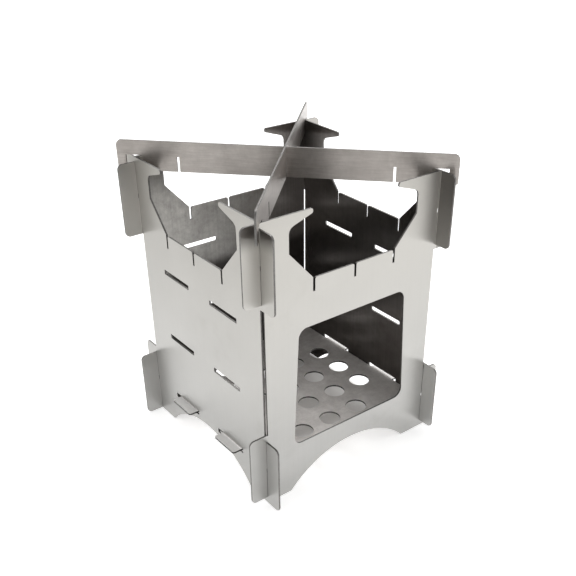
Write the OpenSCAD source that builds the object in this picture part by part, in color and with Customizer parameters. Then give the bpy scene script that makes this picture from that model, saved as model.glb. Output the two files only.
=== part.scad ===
// Plug-together camping wood stove: four slotted sheet panels stand in a ring, a perforated
// grate is held by its tabs, and two crossbars lie over the corners as the pot support.
// The origin is on the ground under the centre, +Z up. The fuel door faces -Y.
// Seen from outside, every panel has the same ears: the left ones are slotted from below,
// the right ones from above and sit lower, so that each panel grips the next one round.

/* [Sheet] */
// Thickness of all the sheet metal
sheet = 1.2; // [0.8:0.1:2]
// Total play of a sheet in the slot that it passes through
slot_play = 0.3; // [0.1:0.1:0.8]

/* [Panels] */
// Distance between the middle planes of two facing panels
panel_pitch = 130; // [120:1:160]
// Height of a panel from the ground to the tips of its horns
panel_h = 184.6; // [175:0.2:220]
// How far a panel's side edge stays back from the middle plane of its neighbour
edge_setback = 1; // [0.7:0.1:3]

/* [Corner ears] */
// How far an ear reaches past the middle plane of its neighbour
ear_reach = 12; // [8:0.5:20]
// Height of an upper ear
upper_ear_h = 46.6; // [36:0.2:50]
// Height of a lower ear
lower_ear_h = 46.6; // [36:0.2:54]
// How much lower the upper right ear sits than the upper left one
upper_ear_drop = 3.2; // [2:0.2:6]
// How much lower the lower right ear sits than the lower left one
lower_ear_drop = 4.6; // [2:0.2:6]
// Open height left where the two slots of a corner meet
slot_gap = 3; // [1:0.5:5]
// Radius of the outer corners of an ear
ear_round = 3.2; // [1:0.2:5]

/* [Top recess] */
// Distance from the middle of the panel to the tip of a horn
horn_tip_x = 31; // [26:1:38]
// Height of the blunt tip of a horn
horn_tip_h = 2.6; // [1.6:0.2:4]
// Radius of the corners of the horn's tip
horn_tip_round = 1.2; // [0.4:0.1:1.4]
// Height of the horn at its root
horn_root_h = 7.9; // [6:0.1:12]
// Radius under the horn's root
horn_root_round = 4.5; // [2:0.5:6]
// Distance from the middle of the panel to the inner edge of a corner post
post_x = 47; // [42:0.5:54]
// Depth of the top of the slope under the horns' tips
slope_top_drop = 22.1; // [18:0.1:28]
// Depth of the rim under the horns' tips
rim_drop = 40.7; // [34:0.1:50]
// Depth of the three notches in the rim
rim_notch_d = 8.4; // [5:0.2:12]
// Distance from the middle notch to an outer one
rim_notch_pitch = 30; // [20:0.5:34]
// Radius of the edges at the mouth of a rim notch
notch_mouth_round = 1.2; // [0.6:0.1:2]
// How far a side panel's recess sits to the left of its middle, seen from outside
side_recess_shift = 2.8; // [0:0.2:4]

/* [Arch] */
// Width of the arch between the feet, at the ground
arch_w = 95; // [80:1:104]
// Height of the arch
arch_h = 20.4; // [12:0.2:22]

/* [Fuel door] */
// Width of the door along its sill, corners taken sharp
door_sill_w = 89.4; // [70:0.2:96]
// Width of the door along its head, corners taken sharp
door_head_w = 81.4; // [64:0.2:92]
// Height of the sill above the ground
door_sill_z = 34.2; // [30:0.2:40]
// Height of the sheet left between the door's head and the rim
bridge_h = 29.8; // [22:0.2:50]
// Radius of the door's corners
door_round = 6; // [3:0.5:9]

/* [Vents] */
// Length of a vent slot
vent_len = 28.5; // [16:0.5:32]
// Height of a vent slot
vent_h = 3.2; // [2.4:0.1:5]
// Radius of the corners of the vents and of the slots for the tabs
slot_round = 0.8; // [0.3:0.1:1.1]
// Distance from the middle of the panel to the middle of a vent column
vent_x = 25.9; // [22:0.1:34]
// Depth of the upper vent row under the rim
vent_drop = 26.6; // [14:0.2:34]
// Distance between the two vent rows
vent_row_pitch = 46.6; // [20:0.2:60]

/* [Grate] */
// Height of the underside of the grate above the ground
grate_z = 22.6; // [21.6:0.1:29]
// Gap between the edge of the grate and a panel
grate_gap = 0.4; // [0.2:0.1:1]
// Width of a tab
tab_w = 21.8; // [14:0.2:24]
// How far a tab stands out of the side panel
tab_out = 5.4; // [3:0.2:8]
// Radius of the outer corners of a tab
tab_round = 1.6; // [0.5:0.1:2.5]
// Length of the slot for a tab
tab_slot_len = 28.5; // [25:0.5:32]
// Height play of a tab in its slot
tab_play = 2.1; // [1.2:0.1:3]
// Diameter of the holes in the grate
hole_d = 14; // [8:0.5:18]
// Distance between the holes in the grate
hole_pitch = 22.7; // [20:0.1:25]

/* [Crossbars] */
// Length of a crossbar
bar_len = 205; // [194:1:240]
// Height of a crossbar
bar_h = 18.4; // [16:0.2:26]
// How deep the lower bar's end notches drop over the corners
bar_seat_d = 8.4; // [6:0.2:10]
// How much deeper the upper bar's end notches are, since it hangs on the lower bar
upper_notch_extra = 1.1; // [0.6:0.1:2]
// Width of an end notch
end_notch_w = 10; // [6:0.5:12]
// Radius of the top corners of a crossbar
bar_round = 3.6; // [1:0.2:6]
// Radius of the bottom corners of a crossbar
bar_foot_round = 1.2; // [0.4:0.1:2]

/* [Hidden] */
$fn = 64;
// Overrun of the cuts
over = 1;
// Share of its radius by which a round reaches over the straight edges that it joins, so that
// it crosses them cleanly
round_bite_share = 0.002;
slot_w = sheet + slot_play;
half_pitch = panel_pitch / 2;
edge_x = half_pitch - edge_setback;
// Inner wall of a corner slot, from the middle of the panel
slot_in_x = half_pitch - slot_w / 2;
ear_x = half_pitch + ear_reach;
// Depths of the corner slots: a left and a right slot end slot_gap apart
upper_slot_d = (upper_ear_h - upper_ear_drop + slot_gap) / 2;
lower_slot_d = (lower_ear_h - lower_ear_drop + slot_gap) / 2;
rim_z = panel_h - rim_drop;
slope_top_z = panel_h - slope_top_drop;
door_head_z = rim_z - bridge_h;
vent_high_z = rim_z - vent_drop;
vent_low_z = vent_high_z - vent_row_pitch;
slope_foot_x = rim_notch_pitch + slot_w / 5;
arch_r = (pow(arch_w / 2, 2) + pow(arch_h, 2)) / (2 * arch_h);
grate_half = half_pitch - sheet / 2 - grate_gap;
tab_x = half_pitch + sheet / 2 + tab_out;
// The bars' underside: the lower bar's end notches rest on the panels' top edges
bar_z = panel_h - bar_seat_d;
bar_slot_d = bar_h / 2;
corner_x = half_pitch * sqrt(2);
steel = [0.76, 0.76, 0.74];
dark_steel = [0.6, 0.6, 0.59];

// Point on the line from a to b at the distance d from a
function along(a, b, d) = a + (b - a) * d / norm(b - a);

// What a round of radius r takes off, or fills in, at the corner p between a and b
module corner_waste(a, p, b, r) {
    ua = (a - p) / norm(a - p);
    ub = (b - p) / norm(b - p);
    half_angle = acos(ua * ub) / 2;
    reach = r / tan(half_angle);
    centre = p + (ua + ub) / norm(ua + ub) * r / sin(half_angle);
    difference() {
        polygon([p, along(p, a, reach), centre, along(p, b, reach)]);
        translate(centre) circle(r = r * (1 + round_bite_share));
    }
}

// Block from x0 to x1 and from z0 to z1, with the corners on the side x1 rounded
module ear(x0, z0, x1, z1, r) {
    difference() {
        translate([min(x0, x1), z0]) square([abs(x1 - x0), z1 - z0]);
        corner_waste([x0, z0], [x1, z0], [x1, z1], r);
        corner_waste([x0, z1], [x1, z1], [x1, z0], r);
    }
}

// Square-ended slot of the width w round x, from z0 to z1
module slot(x, z0, z1, w = slot_w) {
    translate([x - w / 2, z0]) square([w, z1 - z0]);
}

// Slot with rounded corners, of the length l and the height h, round the point p
module eased_slot(p, l, h) {
    translate(p) {
        square([l - 2 * slot_round, h], center = true);
        square([l, h - 2 * slot_round], center = true);
        for (s = [-1, 1], t = [-1, 1])
            translate([s * (l / 2 - slot_round), t * (h / 2 - slot_round)]) circle(r = slot_round);
    }
}

// The recess between the horns: the horns' undersides, the posts, the slopes and the rim
module top_recess() {
    tip = [horn_tip_x, panel_h];
    under = [horn_tip_x, panel_h - horn_tip_h];
    root = [post_x, panel_h - horn_root_h];
    post = [post_x, slope_top_z];
    foot = [slope_foot_x, rim_z];
    top = [horn_tip_x, panel_h + over];
    beside = [post_x, panel_h];
    difference() {
        union() {
            polygon([
                top, under, root, post, foot,
                [-foot[0], foot[1]], [-post[0], post[1]], [-root[0], root[1]],
                [-under[0], under[1]], [-top[0], top[1]]
            ]);
            for (s = [0, 1]) mirror([s, 0]) {
                corner_waste(beside, tip, under, horn_tip_round);
                corner_waste(tip, under, root, horn_tip_round);
            }
        }
        for (s = [0, 1]) mirror([s, 0]) corner_waste(under, root, post, horn_root_round);
    }
    for (x = [-1, 0, 1]) translate([x * rim_notch_pitch, 0]) rim_notch(x);
}

// One notch in the rim, its mouth eased on the sides where the rim meets it
module rim_notch(side) {
    slot(0, rim_z - rim_notch_d, rim_z + over);
    for (s = [-1, 1]) if (s != side) {
        mouth = [s * slot_w / 2, rim_z];
        corner_waste([s * ear_x, rim_z], mouth, [s * slot_w / 2, rim_z - rim_notch_d],
                     notch_mouth_round);
    }
}

// Outline of a panel seen from outside, its recess moved to the left by recess_shift
module panel_outline(recess_shift = 0) {
    upper_left_z = panel_h - upper_ear_h;
    upper_right_z = upper_left_z - upper_ear_drop;
    lower_left_top = lower_ear_drop + lower_ear_h;
    difference() {
        union() {
            translate([-edge_x, 0]) square([2 * edge_x, panel_h]);
            // corner posts as wide as the walls of the corner slots, level with the ears
            translate([-slot_in_x, 0]) square([half_pitch, lower_left_top]);
            translate([-slot_in_x, upper_left_z]) square([half_pitch, upper_ear_h]);
            translate([0, upper_right_z]) square([slot_in_x, panel_h - upper_right_z]);
            // left ears, then right ears
            ear(-post_x, upper_left_z, -ear_x, panel_h, ear_round);
            ear(-post_x, lower_ear_drop, -ear_x, lower_left_top, ear_round);
            ear(post_x, upper_right_z, ear_x, panel_h - upper_ear_drop, ear_round);
            ear(post_x, 0, ear_x, lower_ear_h, ear_round);
        }
        // left slots open downwards
        slot(-half_pitch, upper_left_z - over, upper_left_z + upper_slot_d);
        slot(-half_pitch, -over, lower_ear_drop + lower_slot_d);
        // right slots open upwards
        slot(half_pitch, panel_h - upper_ear_drop - upper_slot_d, panel_h + over);
        slot(half_pitch, lower_ear_h - lower_slot_d, lower_ear_h + over);
        translate([-recess_shift, 0]) top_recess();
        translate([0, arch_h - arch_r]) circle(r = arch_r, $fn = 180);
    }
}

// Door opening, narrower at its head
module door() {
    a = [-door_sill_w / 2, door_sill_z];
    b = [door_sill_w / 2, door_sill_z];
    c = [door_head_w / 2, door_head_z];
    d = [-door_head_w / 2, door_head_z];
    difference() {
        polygon([a, b, c, d]);
        corner_waste(d, a, b, door_round);
        corner_waste(a, b, c, door_round);
        corner_waste(b, c, d, door_round);
        corner_waste(c, d, a, door_round);
    }
}

// Four vent slots, in two columns
module vents() {
    for (s = [-1, 1], z = [vent_low_z, vent_high_z])
        eased_slot([s * vent_x, z], vent_len, vent_h);
}

// Two slots that the tabs of the grate pass through, and on whose floors they rest
module tab_slots() {
    tab_slot_h = sheet + tab_play;
    for (s = [-1, 1])
        eased_slot([s * vent_x, grate_z + tab_slot_h / 2], tab_slot_len, tab_slot_h);
}

// Stands an outline up as the panel number turn, counted round from the front
module standing(turn) {
    rotate([0, 0, -90 * turn]) translate([0, -half_pitch, 0]) rotate([90, 0, 0])
        translate([0, 0, -sheet / 2]) linear_extrude(height = sheet) children();
}

module front_panel() {
    color(steel) standing(0) difference() {
        panel_outline();
        door();
    }
}

module left_panel() {
    color(steel) standing(1) difference() {
        panel_outline(side_recess_shift);
        vents();
        tab_slots();
    }
}

module back_panel() {
    color(steel) standing(2) difference() {
        panel_outline();
        vents();
    }
}

module right_panel() {
    color(steel) standing(3) difference() {
        panel_outline(side_recess_shift);
        vents();
        tab_slots();
    }
}

// Perforated plate: five by five holes without the corner ones, two tabs on each side
module fire_grate() {
    color(dark_steel) translate([0, 0, grate_z]) linear_extrude(height = sheet)
        difference() {
            union() {
                square(2 * grate_half, center = true);
                for (s = [0, 180], y = [-vent_x, vent_x]) rotate(s) translate([0, y])
                    ear(0, -tab_w / 2, tab_x, tab_w / 2, tab_round);
            }
            for (i = [-2:2], j = [-2:2]) if (abs(i) + abs(j) < 4)
                translate([i, j] * hole_pitch) circle(d = hole_d);
        }
}

// Upright plate over the diagonal, its end notches of the depth notch_d straddling two corners
module crossbar_outline(notch_d) {
    end = bar_len / 2;
    difference() {
        translate([-end, 0]) square([bar_len, bar_h]);
        for (s = [0, 1]) mirror([s, 0]) {
            corner_waste([0, bar_h], [end, bar_h], [end, 0], bar_round);
            corner_waste([0, 0], [end, 0], [end, bar_h], bar_foot_round);
            slot(corner_x, -over, notch_d, end_notch_w);
            // second seat: these slots fit the rim notches of two facing panels
            slot(half_pitch, -over, bar_slot_d);
        }
    }
}

module lower_crossbar() {
    color(steel) rotate([0, 0, 45]) translate([0, sheet / 2, bar_z]) rotate([90, 0, 0])
        linear_extrude(height = sheet) difference() {
            crossbar_outline(bar_seat_d);
            slot(0, bar_h - bar_slot_d, bar_h + over);
        }
}

module upper_crossbar() {
    color(steel) rotate([0, 0, -45]) translate([0, sheet / 2, bar_z]) rotate([90, 0, 0])
        linear_extrude(height = sheet) difference() {
            crossbar_outline(bar_seat_d + upper_notch_extra);
            slot(0, -over, bar_h - bar_slot_d);
        }
}

front_panel();
left_panel();
back_panel();
right_panel();
fire_grate();
lower_crossbar();
upper_crossbar();
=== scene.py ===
import math

import bmesh
import bpy
from mathutils import Matrix, Vector
from mathutils.bvhtree import BVHTree


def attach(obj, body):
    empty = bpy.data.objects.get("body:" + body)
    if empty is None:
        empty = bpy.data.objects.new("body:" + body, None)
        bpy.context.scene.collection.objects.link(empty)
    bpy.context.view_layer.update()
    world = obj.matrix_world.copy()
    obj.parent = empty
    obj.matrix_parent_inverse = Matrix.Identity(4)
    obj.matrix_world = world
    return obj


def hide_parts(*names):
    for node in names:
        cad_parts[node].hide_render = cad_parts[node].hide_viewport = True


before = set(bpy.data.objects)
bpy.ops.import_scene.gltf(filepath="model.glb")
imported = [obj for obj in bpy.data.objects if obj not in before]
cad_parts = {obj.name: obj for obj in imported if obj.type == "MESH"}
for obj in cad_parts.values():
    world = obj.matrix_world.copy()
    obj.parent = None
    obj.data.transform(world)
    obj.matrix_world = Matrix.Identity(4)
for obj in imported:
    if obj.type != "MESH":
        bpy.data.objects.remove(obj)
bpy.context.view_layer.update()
print("frame: loaded", len(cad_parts), "sheets")

mm = 0.001
upright = Vector((0, 0, 1))


# Camera

cameraView = {
    "place": (-0.28307, -0.38250, 0.34489),
    "aim": (-0.03149, -0.07814, 0.09442),
    "roll": math.radians(0.83),
    "lens": 51.24,
    "sensor": 36,
    "shift": (-0.0651, 0.1323),
    "clip": (0.01, 30),
}


def makeCamera():
    place = Vector(cameraView["place"])
    ahead = (Vector(cameraView["aim"]) - place).normalized()
    side = ahead.cross(upright).normalized()
    rise = side.cross(ahead)
    roll = cameraView["roll"]
    right = side * math.cos(roll) + rise * math.sin(roll)
    up = rise * math.cos(roll) - side * math.sin(roll)
    data = bpy.data.cameras.new("photoCamera")
    data.lens = cameraView["lens"]
    data.sensor_width = cameraView["sensor"]
    data.shift_x, data.shift_y = cameraView["shift"]
    data.clip_start, data.clip_end = cameraView["clip"]
    camera = bpy.data.objects.new("photoCamera", data)
    turn = Matrix((right, up, -ahead)).transposed().to_4x4()
    camera.matrix_world = Matrix.Translation(place) @ turn
    bpy.context.scene.collection.objects.link(camera)
    bpy.context.scene.camera = camera


makeCamera()
print("camera: set")


# Node helpers: a value is a number, a colour or another node's socket

def addNode(tree, kind, **settings):
    node = tree.nodes.new(kind)
    for name, value in settings.items():
        setattr(node, name, value)
    return node


def feed(tree, socket, value):
    if isinstance(value, (int, float)):
        socket.default_value = value
    elif isinstance(value, tuple):
        socket.default_value = (*value, 1)
    else:
        tree.links.new(value, socket)


def combine(tree, operation, *values):
    node = addNode(tree, "ShaderNodeMath", operation=operation)
    for socket, value in zip(node.inputs, values):
        feed(tree, socket, value)
    return node.outputs[0]


def multiply(tree, first, *others):
    result = first
    for value in others:
        result = combine(tree, "MULTIPLY", result, value)
    return result


def remap(tree, value, low, high, toLow, toHigh, curve="LINEAR"):
    node = addNode(tree, "ShaderNodeMapRange", clamp=True, interpolation_type=curve)
    parts = {"Value": value, "From Min": low, "From Max": high, "To Min": toLow, "To Max": toHigh}
    for name, part in parts.items():
        feed(tree, node.inputs[name], part)
    return node.outputs["Result"]


def blendValues(tree, amount, first, second):
    node = addNode(tree, "ShaderNodeMix", data_type="FLOAT")
    for socket, value in zip((0, 2, 3), (amount, first, second)):
        feed(tree, node.inputs[socket], value)
    return node.outputs[0]


def blendColours(tree, amount, first, second):
    node = addNode(tree, "ShaderNodeMix", data_type="RGBA")
    for socket, value in zip((0, 6, 7), (amount, first, second)):
        feed(tree, node.inputs[socket], value)
    return node.outputs[2]


def scaleColour(tree, colour, amount):
    node = addNode(tree, "ShaderNodeVectorMath", operation="SCALE")
    feed(tree, node.inputs[0], colour)
    feed(tree, node.inputs["Scale"], amount)
    return node.outputs[0]


def split(tree, vector):
    node = addNode(tree, "ShaderNodeSeparateXYZ")
    tree.links.new(vector, node.inputs[0])
    return node.outputs


def noise(tree, vector, scale, detail, roughness):
    node = addNode(tree, "ShaderNodeTexNoise")
    for name, value in {"Vector": vector, "Scale": scale, "Detail": detail,
                        "Roughness": roughness}.items():
        feed(tree, node.inputs[name], value)
    return node.outputs["Fac"]


def bump(tree, height, distance, normal=None):
    node = addNode(tree, "ShaderNodeBump")
    feed(tree, node.inputs["Strength"], 1.0)
    feed(tree, node.inputs["Distance"], distance)
    feed(tree, node.inputs["Height"], height)
    if normal is not None:
        feed(tree, node.inputs["Normal"], normal)
    return node.outputs["Normal"]


# Each group takes a place and named values, and gives numbers only
def startGroup(name, values, results):
    tree = bpy.data.node_groups.new(name, "ShaderNodeTree")
    tree.interface.new_socket("Vector", in_out="INPUT", socket_type="NodeSocketVector")
    for label, value in values.items():
        kind = "NodeSocketVector" if isinstance(value, tuple) else "NodeSocketFloat"
        socket = tree.interface.new_socket(label, in_out="INPUT", socket_type=kind)
        socket.default_value = value
    for label in results:
        tree.interface.new_socket(label, in_out="OUTPUT", socket_type="NodeSocketFloat")
    source = addNode(tree, "NodeGroupInput")
    sink = addNode(tree, "NodeGroupOutput")
    return tree, source.outputs, sink.inputs


def placeGroup(tree, group, vector):
    node = addNode(tree, "ShaderNodeGroup", node_tree=group)
    tree.links.new(vector, node.inputs["Vector"])
    return node


def startMaterial(name):
    material = bpy.data.materials.new(name)
    material.use_nodes = True
    return material, material.node_tree, material.node_tree.nodes["Principled BSDF"]


# Shared effects. A noise is given as its scale, detail and roughness.

grainNoise = {
    "stretch": (5200, 5200, 45),
    "lines": (1.0, 2, 0.5),
    "streaks": (0.16, 3, 0.5),
    "streakShare": 0.5,
    "shown": (0.32, 0.68),         # part of the range that makes up the tone
}


# Rolled and brushed sheet: long fine lines, with broader streaks among them
def makeGrainGroup():
    tree, source, sink = startGroup(
        "sheetGrain", {"Stretch": grainNoise["stretch"]}, ["Tone", "Height"])
    stretched = addNode(tree, "ShaderNodeVectorMath", operation="MULTIPLY")
    tree.links.new(source["Vector"], stretched.inputs[0])
    tree.links.new(source["Stretch"], stretched.inputs[1])
    lines = noise(tree, stretched.outputs[0], *grainNoise["lines"])
    streaks = noise(tree, stretched.outputs[0], *grainNoise["streaks"])
    tone = blendValues(tree, grainNoise["streakShare"], lines, streaks)
    feed(tree, sink["Tone"], remap(tree, tone, *grainNoise["shown"], 0, 1))
    feed(tree, sink["Height"], lines)
    return tree


markNoise = {
    # name: noise, and the part of its range that shows
    "clouds": ((26, 4, 0.55), (0.3, 0.7)),
    "spots": ((75, 5, 0.6), (0.5, 0.68)),
    "patches": ((14, 2, 0.5), (0.48, 0.62)),
    "mottle": ((110, 9, 0.78), (0.32, 0.68)),
}


# Clouded handling marks and wiped patches, which dull the sheet a little
def makeMarksGroup():
    tree, source, sink = startGroup("handlingMarks", {}, ["Clouds", "Smudges", "Mottle"])

    def marks(name):
        size, shown = markNoise[name]
        return remap(tree, noise(tree, source["Vector"], *size), *shown, 0, 1)

    feed(tree, sink["Clouds"], marks("clouds"))
    feed(tree, sink["Smudges"], multiply(tree, marks("spots"), marks("patches")))
    feed(tree, sink["Mottle"], marks("mottle"))
    return tree


waveNoise = (16, 1, 0.4)


# The sheet isn't quite flat: long shallow waves bend what it mirrors
def makeWavesGroup():
    tree, source, sink = startGroup("sheetWaves", {}, ["Height"])
    feed(tree, sink["Height"], noise(tree, source["Vector"], *waveNoise))
    return tree


chamberPlaces = {
    "Wall": 0.065,                 # middle of the panels' thickness
    "Fade Start": 0.15,            # height from which the painted shade grows thinner
    "Fade End": 0.21,
    "Back Wall": 0.0637,           # just in front of the back panel's inner face
    "Back Share": 0.27,            # how much painted shade the left half of that face gets
    "Back Start": -0.015,          # and where that painted shade grows deeper
    "Back End": 0.06,
    "Far Corner": 0.08,            # x + y from which the painted shade is as dark at the top
    "Grate": 0.0226,
    "Low Start": 0.0965,           # the deepest painted shade on the back ends at this height
    "Low End": 0.1065,
}


# Where a face looks into the fire chamber, which gets painted shade. Inside is all of it, Mask is
# less on the back's left half, which the door lights, and Deep is what lies under the grate and
# low on the back, which gets the deepest painted shade.
def makeChamberGroup():
    tree, source, sink = startGroup("chamberFaces", chamberPlaces, ["Mask", "Inside", "Deep"])
    place = split(tree, source["Vector"])
    reach = combine(tree, "MAXIMUM", combine(tree, "ABSOLUTE", place["X"]),
                    combine(tree, "ABSOLUTE", place["Y"]))
    within = combine(tree, "LESS_THAN", reach, source["Wall"])
    fade = remap(tree, place["Z"], source["Fade Start"], source["Fade End"], 1, 0, "SMOOTHSTEP")
    towardsFar = combine(tree, "ADD", place["X"], place["Y"])
    farCorner = combine(tree, "GREATER_THAN", towardsFar, source["Far Corner"])
    inside = multiply(tree, within, combine(tree, "MAXIMUM", fade, farCorner))
    notBack = combine(tree, "LESS_THAN", place["Y"], source["Back Wall"])
    onBack = remap(tree, place["X"], source["Back Start"], source["Back End"],
                   source["Back Share"], 1, "SMOOTHSTEP")
    under = combine(tree, "LESS_THAN", place["Z"], source["Grate"])
    low = remap(tree, place["Z"], source["Low Start"], source["Low End"], 1, 0, "SMOOTHSTEP")
    lowBack = multiply(tree, low, combine(tree, "SUBTRACT", 1, notBack))
    feed(tree, sink["Mask"], multiply(tree, inside, combine(tree, "MAXIMUM", onBack, notBack)))
    feed(tree, sink["Inside"], inside)
    feed(tree, sink["Deep"], multiply(tree, within, combine(tree, "MAXIMUM", under, lowBack)))
    return tree


earPlaces = {
    "Wall": 0.0662,                # ears stand out past this
    "Left Foot": 0.169,            # heights at which the painted shade begins
    "Right Foot": 0.060,
    "Top": 0.181,
    "Far Share": 0.22,             # painted shade, even, on the ears behind the left panel
}


# Painted shade and dark reflection on the ears: down from the tops at the door side, and further
# down on the right
def makeEarGroup():
    tree, source, sink = startGroup("earPaintedShade", earPlaces, ["Mask"])
    place = split(tree, source["Vector"])
    minusWall = multiply(tree, source["Wall"], -1)
    toSide = combine(tree, "GREATER_THAN", combine(tree, "ABSOLUTE", place["X"]), source["Wall"])
    toFront = combine(tree, "LESS_THAN", place["Y"], minusWall)
    nearHalf = combine(tree, "LESS_THAN", place["Y"], 0)
    right = combine(tree, "GREATER_THAN", place["X"], 0)
    foot = blendValues(tree, right, source["Left Foot"], source["Right Foot"])
    climb = remap(tree, place["Z"], foot, source["Top"], 0, 1, "SMOOTHSTEP")
    near = multiply(tree, combine(tree, "MAXIMUM", toSide, toFront), nearHalf, climb)
    toLeft = combine(tree, "LESS_THAN", place["X"], minusWall)
    far = multiply(tree, toLeft, combine(tree, "SUBTRACT", 1, nearHalf), source["Far Share"])
    feed(tree, sink["Mask"], combine(tree, "ADD", near, far))
    return tree


grainGroup = makeGrainGroup()
marksGroup = makeMarksGroup()
wavesGroup = makeWavesGroup()
chamberGroup = makeChamberGroup()
earGroup = makeEarGroup()


# Materials

panelHeatTintAndShade = {
    "warm": (0.495, 0.475, 0.438),       # straw tint that heat leaves towards the top
    "warmFrom": (0.03, 0.18),
    "warmDepth": 0.7,
    "paintedShade": (0.119, 0.107, 0.102),       # painted shade on the inner faces
    "paintedShadeLight": (0.195, 0.177, 0.165),
    "cover": (0.82, 1.0),                # how far it covers them
    "shadeUnevenness": 0.8,                         # mottling and grain that show through it
    "unevenMiddle": 0.5,                   # where they leave the colour as it is
    "unevenGrain": 0.28,
    "blotch": 0.3,
    # painted shade at its darkest: under the grate, low on the back and on the ears
    "paintedShadeDeep": (0.045, 0.039, 0.036),
    "onEars": 0.73,
    "deep": 0.85,
}


# Heat tint, and painted shade on the fire chamber's faces and on the ears, by where a point lies
# on the panels
def heatTintAndPaintedShade(tree, heatAndShade, colour, place, grain, marks):
    warmed = remap(tree, split(tree, place)["Z"], *heatAndShade["warmFrom"], 0, heatAndShade["warmDepth"])
    colour = blendColours(tree, warmed, colour, heatAndShade["warm"])
    # painted shade on the faces inside the fire chamber, made uneven by mottle and grain
    chamber = placeGroup(tree, chamberGroup, place).outputs
    cover = remap(tree, marks["Clouds"], 0, 1, *heatAndShade["cover"])
    shadeColour = blendColours(tree, marks["Mottle"], heatAndShade["paintedShade"], heatAndShade["paintedShadeLight"])
    colour = blendColours(tree, multiply(tree, chamber["Mask"], cover), colour, shadeColour)
    uneven = blendValues(tree, heatAndShade["unevenGrain"], marks["Mottle"], grain["Tone"])
    shadeVariation = multiply(tree, combine(tree, "SUBTRACT", heatAndShade["unevenMiddle"], uneven),
                    heatAndShade["shadeUnevenness"], chamber["Inside"])
    colour = scaleColour(tree, colour, combine(tree, "ADD", shadeVariation, 1))
    # painted shade in blotches inside the chamber
    blotches = multiply(tree, marks["Smudges"], heatAndShade["blotch"], chamber["Inside"])
    colour = blendColours(tree, blotches, colour, heatAndShade["paintedShade"])
    # deepest painted shade under the grate and low on the back
    deep = multiply(tree, chamber["Deep"], heatAndShade["deep"])
    colour = blendColours(tree, deep, colour, heatAndShade["paintedShadeDeep"])
    # painted shade and dark reflection at the ears' tops
    ears = placeGroup(tree, earGroup, place).outputs["Mask"]
    return blendColours(tree, multiply(tree, ears, heatAndShade["onEars"]), colour, heatAndShade["paintedShadeDeep"])


def sheetSteel(look):
    material, tree, shader = startMaterial(look["name"])
    place = addNode(tree, "ShaderNodeTexCoord").outputs["Object"]
    turned = addNode(tree, "ShaderNodeMapping")
    turned.inputs["Rotation"].default_value = (0, 0, look["turn"])
    tree.links.new(place, turned.inputs["Vector"])
    brushed = placeGroup(tree, grainGroup, turned.outputs["Vector"])
    brushed.inputs["Stretch"].default_value = look["stretch"]
    grain = brushed.outputs
    marks = placeGroup(tree, marksGroup, place).outputs
    waves = placeGroup(tree, wavesGroup, place).outputs

    colour = blendColours(tree, grain["Tone"], look["dark"], look["light"])
    smudges = multiply(tree, marks["Smudges"], look["smudge"])
    colour = blendColours(tree, smudges, colour, look["stain"])
    speckle = multiply(tree, marks["Mottle"], look["speckle"])
    colour = blendColours(tree, speckle, colour, look["stain"])
    if "heatAndShade" in look:
        colour = heatTintAndPaintedShade(tree, look["heatAndShade"], colour, place, grain, marks)
    # Painted light: past tabFrom the colour turns to the lighter tab colour
    if "tab" in look:
        reach = combine(tree, "ABSOLUTE", split(tree, place)["X"])
        outside = combine(tree, "GREATER_THAN", reach, look["tabFrom"])
        tab = blendColours(tree, speckle, look["tab"], look["light"])
        colour = blendColours(tree, outside, colour, tab)
    feed(tree, shader.inputs["Base Color"], colour)

    clouded = remap(tree, marks["Clouds"], 0, 1, *look["rough"])
    lined = multiply(tree, grain["Tone"], look["lineRough"])
    feed(tree, shader.inputs["Roughness"], combine(tree, "ADD", clouded, lined))
    wavy = bump(tree, waves["Height"], look["waves"])
    feed(tree, shader.inputs["Normal"], bump(tree, grain["Height"], look["lines"], wavy))
    drawn = addNode(tree, "ShaderNodeTangent", direction_type="UV_MAP", uv_map="grain")
    feed(tree, shader.inputs["Tangent"], drawn.outputs["Tangent"])
    feed(tree, shader.inputs["Anisotropic"], look["drawnOut"])
    feed(tree, shader.inputs["Metallic"], look["metal"])
    return material


# Cut by laser: dull and darker than the sheet, with fine lines across the thickness
def cutEdgeSteel(look):
    material, tree, shader = startMaterial(look["name"])
    place = addNode(tree, "ShaderNodeTexCoord").outputs["Object"]
    grain = placeGroup(tree, grainGroup, place)
    grain.inputs["Stretch"].default_value = (look["striations"],) * 3
    clouds = placeGroup(tree, marksGroup, place).outputs["Clouds"]
    colour = blendColours(tree, grain.outputs["Tone"], look["dark"], look["light"])
    feed(tree, shader.inputs["Base Color"], colour)
    feed(tree, shader.inputs["Roughness"], remap(tree, clouds, 0, 1, *look["rough"]))
    feed(tree, shader.inputs["Normal"], bump(tree, grain.outputs["Height"], look["relief"]))
    feed(tree, shader.inputs["Metallic"], look["metal"])
    return material


sheetLook = {
    "turn": 0,                     # of the grain, about the vertical
    "stretch": (5200, 5200, 45),   # grain up the sheet
    "dark": (0.46, 0.457, 0.444),
    "light": (0.485, 0.481, 0.468),
    "stain": (0.38, 0.37, 0.355),
    "smudge": 0.3,
    "speckle": 0.10,
    "rough": (0.27, 0.33),
    "lineRough": 0.03,
    "metal": 1.0,
    "drawnOut": 0.9,               # how far the grain draws reflections out sideways
    "waves": 0.06 * mm,
    "lines": 0.0006 * mm,
}
panelLook = dict(sheetLook, name="satinPanelSteel", heatAndShade=panelHeatTintAndShade)
grateLook = dict(
    sheetLook,
    name="satinGrateSteel",
    stretch=(60, 5200, 5200),
    dark=(0.85, 0.825, 0.80),
    light=(0.94, 0.915, 0.89),
    stain=(0.50, 0.465, 0.44),
    speckle=0.55,
    rough=(0.84, 0.92),
    metal=0.55,                    # dulled by heat, so it scatters some light
    tab=(0.985, 0.98, 0.965),      # painted light: the tabs outside the panels are lighter
    tabFrom=0.0645,
    drawnOut=0.0)
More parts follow.
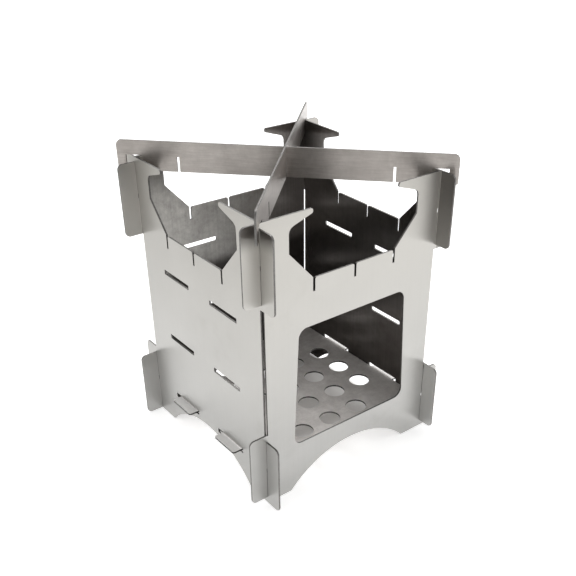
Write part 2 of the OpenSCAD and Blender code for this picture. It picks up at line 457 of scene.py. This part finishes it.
barLook = dict(
    sheetLook,
    stretch=(100, 1200, 1200),     # grain along the bar, in short dashes
    stain=(0.27, 0.24, 0.22),
    speckle=0.42,
    rough=(0.28, 0.36),
    lineRough=0.06,
    lines=0.001 * mm)
# Painted shade: the lower bar gets a darker tone than the upper bar, though both are the same
# steel
lowerBarLook = dict(
    barLook,
    name="brushedLowerBarSteel",
    turn=math.radians(-45),
    dark=(0.37, 0.34, 0.32),
    light=(0.50, 0.465, 0.44))
upperBarLook = dict(
    barLook,
    name="brushedUpperBarSteel",
    turn=math.radians(45),
    dark=(0.46, 0.425, 0.40),
    light=(0.61, 0.575, 0.54))
edgeLook = {
    "name": "laserCutEdge",
    "dark": (0.13, 0.127, 0.122),
    "light": (0.26, 0.252, 0.243),
    "rough": (0.42, 0.6),
    "metal": 1,
    "striations": 2600,            # across the cut, for each metre of it
    "relief": 0.02 * mm,
}
# Painted shade: the grate's cut edges are darker than the panels'
shadedGrateEdgeLook = dict(
    edgeLook,
    name="paintedShadeCutEdge",
    dark=(0.05, 0.048, 0.046),
    light=(0.12, 0.115, 0.11))
# Painted shade: walls of narrow slots are darker than other cut edges
slotEdgeLook = dict(
    edgeLook,
    name="slotCutEdge",
    dark=(0.035, 0.034, 0.032),
    light=(0.085, 0.082, 0.079))

panelSteel = sheetSteel(panelLook)
grateSteel = sheetSteel(grateLook)
lowerBarSteel = sheetSteel(lowerBarLook)
upperBarSteel = sheetSteel(upperBarLook)
cutEdge = cutEdgeSteel(edgeLook)
shadedGrateEdge = cutEdgeSteel(shadedGrateEdgeLook)
slotEdge = cutEdgeSteel(slotEdgeLook)
print("materials: sheet steel and cut edges made")


# Sheets: each takes its outline from its CAD node and gets eased, dull-cut edges

sheetFinish = {
    "merge": 0.001 * mm,
    "flat": math.radians(0.5),
    "faceTurn": 0.9,               # cosines that tell the faces from the cut edges,
    "edgeTurn": 0.5,               # before and after the easing
    "burr": 0.11 * mm,             # width of the eased edge
    "burrSteps": 2,
    "burrRound": 0.5,
    "corner": math.radians(40),    # sharper corners of the outline stay crisp
    "slot": 2.4 * mm,              # cuts narrower than this get darker walls, as painted shade
    "faceWeight": 100,
}


def dressSheet(node, piece, facing, grain, faceSteel, edgeSteel, slot, body):
    facing = Vector(facing).normalized()
    grain = Vector(grain).normalized()
    across = grain.cross(facing)
    work = bmesh.new()
    work.from_mesh(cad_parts[node].data)
    bmesh.ops.remove_doubles(work, verts=work.verts, dist=sheetFinish["merge"])
    bmesh.ops.dissolve_limit(work, angle_limit=sheetFinish["flat"], verts=work.verts,
                             edges=work.edges, use_dissolve_boundaries=False)
    work.normal_update()

    def onFace(face):
        return abs(face.normal.dot(facing)) > sheetFinish["faceTurn"]

    rims = [edge for edge in work.edges
            if len(edge.link_faces) == 2
            and onFace(edge.link_faces[0]) != onFace(edge.link_faces[1])]
    bmesh.ops.bevel(work, geom=rims, offset=sheetFinish["burr"], offset_type="OFFSET",
                    affect="EDGES", segments=sheetFinish["burrSteps"],
                    profile=sheetFinish["burrRound"], material=-1, clamp_overlap=True)
    bmesh.ops.triangulate(work, faces=[face for face in work.faces if len(face.verts) > 4])
    work.normal_update()

    # Material 0 is for the faces, 1 for the cut edges and 2 for the walls of narrow slots, which
    # are darker as painted shade
    walls = BVHTree.FromBMesh(work)
    for face in work.faces:
        face.smooth = True
        if abs(face.normal.dot(facing)) < sheetFinish["edgeTurn"]:
            start = face.calc_center_median() + face.normal * sheetFinish["merge"]
            otherWall = walls.ray_cast(start, face.normal, sheetFinish["slot"])[0]
            face.material_index = 1 if otherWall is None else 2
    for edge in work.edges:
        if len(edge.link_faces) == 2 and edge.calc_face_angle() > sheetFinish["corner"]:
            edge.smooth = False
    grainMap = work.loops.layers.uv.new("grain")
    for face in work.faces:
        for loop in face.loops:
            place = loop.vert.co
            loop[grainMap].uv = (place.dot(across) + place.dot(facing), place.dot(grain))

    mesh = bpy.data.meshes.new(piece)
    work.to_mesh(mesh)
    work.free()
    for steel in (faceSteel, edgeSteel, slotEdge):
        mesh.materials.append(steel)
    sheet = bpy.data.objects.new(piece, mesh)
    bpy.context.scene.collection.objects.link(sheet)
    weighted = sheet.modifiers.new("flatFaces", "WEIGHTED_NORMAL")
    weighted.keep_sharp = True
    weighted.weight = sheetFinish["faceWeight"]
    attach(sheet, body)
    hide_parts(node)


alongX, alongY, alongZ = (1, 0, 0), (0, 1, 0), (0, 0, 1)
alongLower, alongUpper = (1, 1, 0), (1, -1, 0)     # the two crossbars' lines
sheets = [
    # node, piece, a face's direction, the grain's direction, faces, edges, slot, body
    ("front_panel", "frontPanel", alongY, alongZ, panelSteel, cutEdge, "panel_steel", "firebox"),
    ("left_panel", "leftPanel", alongX, alongZ, panelSteel, cutEdge, "panel_steel", "firebox"),
    ("back_panel", "backPanel", alongY, alongZ, panelSteel, cutEdge, "panel_steel", "firebox"),
    ("right_panel", "rightPanel", alongX, alongZ, panelSteel, cutEdge, "panel_steel", "firebox"),
    ("fire_grate", "fireGrate", alongZ, alongX, grateSteel, shadedGrateEdge, "grate_steel", "firebox"),
    ("lower_crossbar", "lowerCrossbar", alongUpper, alongLower, lowerBarSteel, cutEdge,
     "bar_steel", "lower_bar"),
    ("upper_crossbar", "upperCrossbar", alongLower, alongUpper, upperBarSteel, cutEdge,
     "bar_steel", "upper_bar"),
]
for entry in sheets:
    dressSheet(*entry)
    print("sheet:", entry[1])


# Floor and light

studio = {
    "floorSize": 9,
    "floorDrop": 0.2 * mm,
    "floorColour": (0.90, 0.90, 0.895),
    "floorRough": 0.9,
    "floorShine": 0.1,
    "floorGlow": 0.58,                     # the floor is lit from below, like a light table
    "shadeMiddle": (0.0075, 0.0125),       # painted shadow: the ground under the grate gets no glow, as the stove's shade
    "shadeReach": (0.0545, 0.0585),        # from full shade to full glow, each side of that
    "nearSide": (-0.6, -0.8),              # painted shade: the glow ends towards the camera, out of its view
    "nearReach": (0.25, 0.62),
    "leftSide": (-0.8, 0.6),               # painted shade: it is weaker on the left, also out of view
    "leftReach": (0.09, 0.55),
    "leftShare": 0.1,
    "behind": (0.25, 0.60),                # full again this far behind the stove
    "horizon": (1.5, 3.8),                 # far out the floor dims into the room
    "skyLow": (0.50, 0.497, 0.49),         # round the horizon
    "skyHigh": (0.48, 0.48, 0.48),         # overhead
    "skyClimb": (0.0, 0.7),
    "skyStrength": 1.0,
}
softboxes = [
    # name, place, aim, size, watts
    ("backBox", (0.8, 1.0, 1.85), (0.05, 0.1, 0), (1.4, 1.4), 27),
    ("leftBox", (-1.9, 0.6, 1.3), (-0.3, 0, 0), (1.4, 1.0), 11),
    ("rightBox", (2.0, -0.9, 1.4), (0.4, -0.4, 0), (1.4, 1.0), 11),
]


# Where the floor glows, as a share of its full glow; a painted shadow under the stove and painted
# shade towards the camera and the left take glow away
def floorLight(tree):
    place = split(tree, addNode(tree, "ShaderNodeTexCoord").outputs["Object"])
    offsets = [combine(tree, "SUBTRACT", place[axis], middle)
               for axis, middle in zip("XY", studio["shadeMiddle"])]
    reach = combine(tree, "MAXIMUM", *[combine(tree, "ABSOLUTE", part) for part in offsets])

    def along(direction):
        parts = [multiply(tree, place[axis], part) for axis, part in zip("XY", direction)]
        return combine(tree, "ADD", *parts)

    towards = along(studio["nearSide"])
    near = remap(tree, towards, *studio["nearReach"], 1, 0)
    left = remap(tree, along(studio["leftSide"]), *studio["leftReach"], 1, studio["leftShare"])
    behind = remap(tree, multiply(tree, towards, -1), *studio["behind"], 0, 1)
    around = remap(tree, reach, *studio["shadeReach"], 0, 1)
    far = remap(tree, reach, *studio["horizon"], 1, 0)
    return multiply(tree, around, far, near, combine(tree, "MAXIMUM", left, behind))


def makeFloor():
    work = bmesh.new()
    bmesh.ops.create_grid(work, x_segments=1, y_segments=1, size=studio["floorSize"] / 2)
    mesh = bpy.data.meshes.new("floor")
    work.to_mesh(mesh)
    work.free()
    material, tree, shader = startMaterial("paleFloor")
    feed(tree, shader.inputs["Base Color"], studio["floorColour"])
    feed(tree, shader.inputs["Roughness"], studio["floorRough"])
    feed(tree, shader.inputs["Specular IOR Level"], studio["floorShine"])
    feed(tree, shader.inputs["Emission Color"],
         blendColours(tree, floorLight(tree), (0, 0, 0), (1, 1, 1)))
    feed(tree, shader.inputs["Emission Strength"], studio["floorGlow"])
    mesh.materials.append(material)
    floor = bpy.data.objects.new("floor", mesh)
    floor.location = (0, 0, -studio["floorDrop"])
    bpy.context.scene.collection.objects.link(floor)


# A plain grey room, a little brighter round the horizon than overhead
def makeWorld():
    world = bpy.data.worlds.new("softStudio")
    world.use_nodes = True
    tree = world.node_tree
    sky = tree.nodes["Background"]
    height = split(tree, addNode(tree, "ShaderNodeTexCoord").outputs["Generated"])["Z"]
    climb = remap(tree, height, *studio["skyClimb"], 0, 1)
    feed(tree, sky.inputs["Color"],
         blendColours(tree, climb, studio["skyLow"], studio["skyHigh"]))
    feed(tree, sky.inputs["Strength"], studio["skyStrength"])
    bpy.context.scene.world = world


def makeSoftbox(name, place, aim, size, watts):
    data = bpy.data.lights.new(name, "AREA")
    data.shape = "RECTANGLE"
    data.size, data.size_y = size
    data.energy = watts
    box = bpy.data.objects.new(name, data)
    box.location = place
    box.rotation_euler = (Vector(aim) - Vector(place)).to_track_quat("-Z", "Y").to_euler()
    bpy.context.scene.collection.objects.link(box)


makeFloor()
makeWorld()
for box in softboxes:
    makeSoftbox(*box)
bpy.context.scene.view_settings.view_transform = "Standard"
print("studio: floor and light set")
